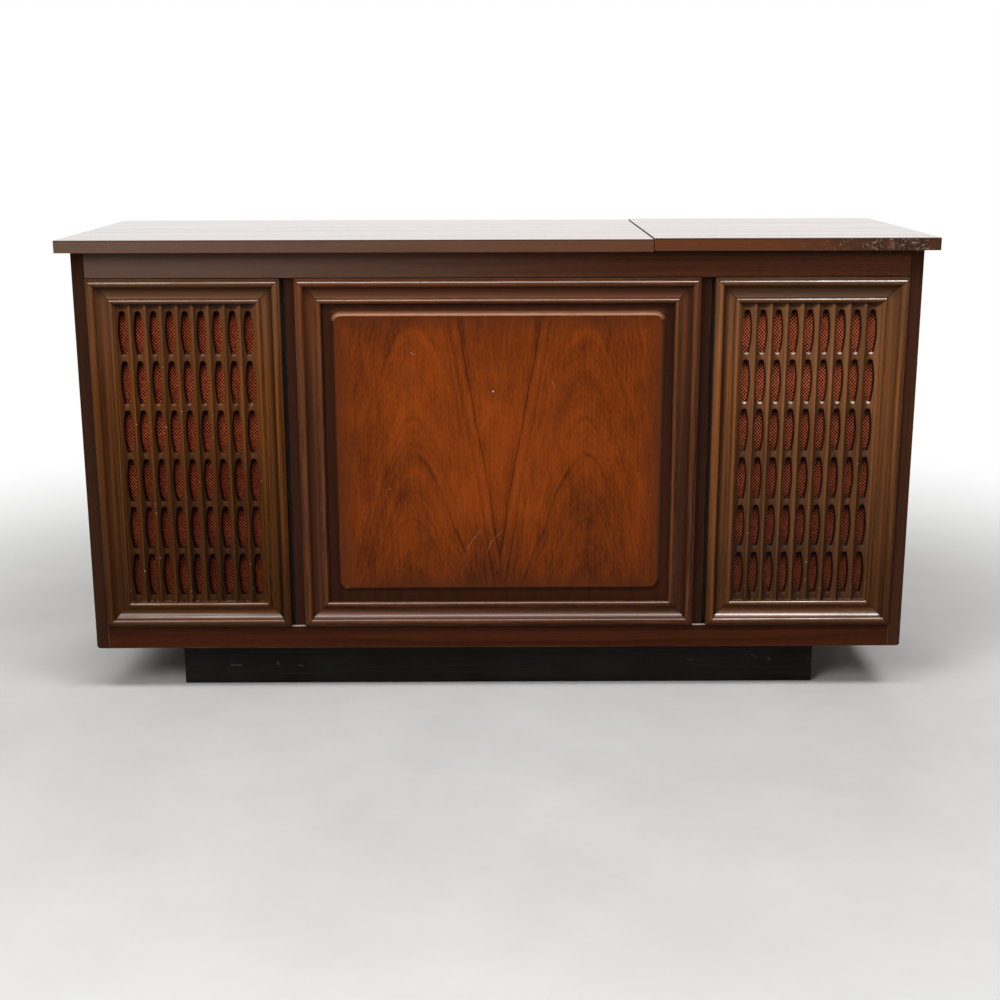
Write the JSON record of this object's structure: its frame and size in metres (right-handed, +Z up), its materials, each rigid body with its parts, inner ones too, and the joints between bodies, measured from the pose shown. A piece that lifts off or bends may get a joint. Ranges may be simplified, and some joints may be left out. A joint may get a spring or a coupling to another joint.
{
  "type": "stereo console",
  "caption": "Low lift-lid stereo console cabinet with pierced loudspeaker grilles either side of a framed veneered panel, on a recessed plinth, with a record changer and tuner under the lid.",
  "frame": {"origin": "on the floor, under the middle of the overall box", "axes": "+X to the right along the length as seen from the front, +Y to the back, +Z up; the front faces -Y"},
  "size_m": [1.4, 0.482, 0.77],
  "materials": {
    "walnut_top": "satin walnut laminate, grain along the length",
    "walnut_case": "dark red-brown walnut finish",
    "inner_wood": "dull brown board",
    "field_veneer": "book-matched walnut veneer, satin lacquer",
    "dark_moulding": "dark red-brown stained moulding",
    "wood_tone_plastic": "wood-toned moulding with an antique glaze",
    "grille_cloth": "red and black woven loudspeaker cloth",
    "black_board": "black-painted chipboard",
    "black_paint": "worn black paint",
    "hardboard": "bare hardboard",
    "plated_steel": "zinc plated",
    "cone_paper": "pressed paper",
    "speaker_metal": "dark enamel",
    "black_plastic": "fine matt",
    "changer_paint": "hammered dark enamel",
    "platter_metal": "silver enamel",
    "soft_rubber": "matt",
    "bright_metal": "polished",
    "arm_metal": "satin",
    "pulley_brass": "turned",
    "overarm_plastic": "gloss",
    "escutcheon": "black with a brushed overlay",
    "dial_glass": "clear",
    "pointer_red": "gloss",
    "knob_plastic": "black with a bright cap"
  },
  "bodies": {
    "cabinet": {"amplifier_chassis": "plated_steel", "arm_rest": "black_plastic", "back_cover": "hardboard", "back_cover_screws": "plated_steel", "back_top_rail": "inner_wood", "bottom_front_rail": "walnut_case", "bottom_panel": "inner_wood", "centre_moulding": "dark_moulding", "centre_panel": "field_veneer", "changer_motor": "speaker_metal", "changer_plate": "changer_paint", "control_panel": "escutcheon", "deck_board": "inner_wood", "dial_glass": "dial_glass", "fixed_top": "walnut_top", "front_stiles": "walnut_case", "hinge_fixed_leaves": "plated_steel", "left_baffle": "black_board", "left_grille": "wood_tone_plastic", "left_grille_cloth": "grille_cloth", "left_grille_moulding": "wood_tone_plastic", "left_partition": "inner_wood", "left_side_panel": "walnut_case", "left_woofer_basket": "speaker_metal", "left_woofer_cone": "cone_paper", "plinth_boards": "black_paint", "right_baffle": "black_board", "right_grille": "wood_tone_plastic", "right_grille_cloth": "grille_cloth", "right_grille_moulding": "wood_tone_plastic", "right_partition": "inner_wood", "right_side_panel": "walnut_case", "right_woofer_basket": "speaker_metal", "right_woofer_cone": "cone_paper", "spindle": "bright_metal", "terminal_plate": "black_plastic", "top_front_rail": "walnut_case", "tweeters": "speaker_metal"},
    "lid": {"lid_panel": "walnut_top", "hinge_moving_leaves": "plated_steel", "lid_stay": "plated_steel"},
    "turntable": {"platter": "platter_metal", "platter_mat": "soft_rubber"},
    "idler": {"idler_wheel": "soft_rubber"},
    "pulley": {"motor_pulley": "pulley_brass"},
    "arm_turret": {"tonearm_pivot": "black_plastic"},
    "arm": {"tonearm": "arm_metal", "cartridge_head": "black_plastic"},
    "steady_post": {"overarm_post": "bright_metal"},
    "steady_arm": {"overarm": "overarm_plastic"},
    "start_control": {"start_lever": "black_plastic"},
    "speed_control": {"speed_lever": "black_plastic"},
    "volume_control": {"volume_knob": "knob_plastic"},
    "balance_control": {"balance_knob": "knob_plastic"},
    "bass_control": {"bass_knob": "knob_plastic"},
    "treble_control": {"treble_knob": "knob_plastic"},
    "selector_control": {"selector_knob": "knob_plastic"},
    "tuning_control": {"tuning_knob": "knob_plastic"},
    "pointer": {"dial_pointer": "pointer_red"},
    "power_control": {"power_button": "knob_plastic"}
  },
  "joints": [
    {"name": "lid_hinge", "type": "hinge", "parent": "cabinet", "child": "lid", "pos_m": [-0.227, 0.2364, 0.7463], "axis": [-1, 0, 0], "range_deg": [0, 75]},
    {"name": "platter_spin", "type": "hinge", "parent": "cabinet", "child": "turntable", "pos_m": [-0.494, 0.0094, 0.6218], "axis": [0, 0, -1], "continuous": true},
    {"name": "idler_spin", "type": "hinge", "parent": "cabinet", "child": "idler", "pos_m": [-0.58307, 0.06082, 0.6085], "axis": [0, 0, -1], "continuous": true},
    {"name": "pulley_spin", "type": "hinge", "parent": "cabinet", "child": "pulley", "pos_m": [-0.55889, 0.06509, 0.6085], "axis": [0, 0, -1], "continuous": true},
    {"name": "tonearm_swing", "type": "hinge", "parent": "cabinet", "child": "arm_turret", "pos_m": [-0.314, 0.1174, 0.6018], "axis": [0, 0, -1], "range_deg": [0, 44]},
    {"name": "tonearm_lift", "type": "hinge", "parent": "arm_turret", "child": "arm", "pos_m": [-0.314, 0.1174, 0.6445], "axis": [-1, 0, 0], "range_deg": [0, 5]},
    {"name": "overarm_lift", "type": "slide", "parent": "cabinet", "child": "steady_post", "axis": [0, 0, 1], "range_m": [0, 0.012]},
    {"name": "overarm_swing", "type": "hinge", "parent": "steady_post", "child": "steady_arm", "pos_m": [-0.356, 0.1394, 0.6863], "axis": [0, 0, 1], "range_deg": [0, 80]},
    {"name": "start_lever_turn", "type": "hinge", "parent": "cabinet", "child": "start_control", "pos_m": [-0.294, -0.1106, 0.6015], "axis": [0, 0, 1], "range_deg": [-24, 24]},
    {"name": "speed_lever_turn", "type": "hinge", "parent": "cabinet", "child": "speed_control", "pos_m": [-0.344, -0.1106, 0.6015], "axis": [0, 0, 1], "range_deg": [-24, 24]},
    {"name": "volume_turn", "type": "hinge", "parent": "cabinet", "child": "volume_control", "pos_m": [-0.18, -0.0776, 0.6085], "axis": [0, 0, -1], "range_deg": [0, 290]},
    {"name": "balance_turn", "type": "hinge", "parent": "cabinet", "child": "balance_control", "pos_m": [-0.06817, -0.0776, 0.6085], "axis": [0, 0, -1], "range_deg": [-140, 140]},
    {"name": "bass_turn", "type": "hinge", "parent": "cabinet", "child": "bass_control", "pos_m": [0.04367, -0.0776, 0.6085], "axis": [0, 0, -1], "range_deg": [-140, 140]},
    {"name": "treble_turn", "type": "hinge", "parent": "cabinet", "child": "treble_control", "pos_m": [0.1555, -0.0776, 0.6085], "axis": [0, 0, -1], "range_deg": [-140, 140]},
    {"name": "selector_turn", "type": "hinge", "parent": "cabinet", "child": "selector_control", "pos_m": [-0.18, 0.0064, 0.6085], "axis": [0, 0, -1], "range_deg": [0, 120]},
    {"name": "tuning_turn", "type": "hinge", "parent": "cabinet", "child": "tuning_control", "pos_m": [0.1555, 0.0064, 0.6085], "axis": [0, 0, -1], "range_deg": [-540, 540]},
    {"name": "pointer_slide", "type": "slide", "parent": "cabinet", "child": "pointer", "axis": [1, 0, 0], "range_m": [-0.14, 0.14]},
    {"name": "power_press", "type": "slide", "parent": "cabinet", "child": "power_control", "axis": [0, 0, -1], "range_m": [0, 0.004], "stiffness_N_per_m": 300, "springref_m": -0.001}
  ],
  "couplings": [
    {"joint": "idler_spin", "follows": "platter_spin", "ratio": 5.6818},
    {"joint": "pulley_spin", "follows": "platter_spin", "ratio": -52.083},
    {"joint": "pointer_slide", "follows": "tuning_turn", "m_per_rad": 0.014854}
  ]
}
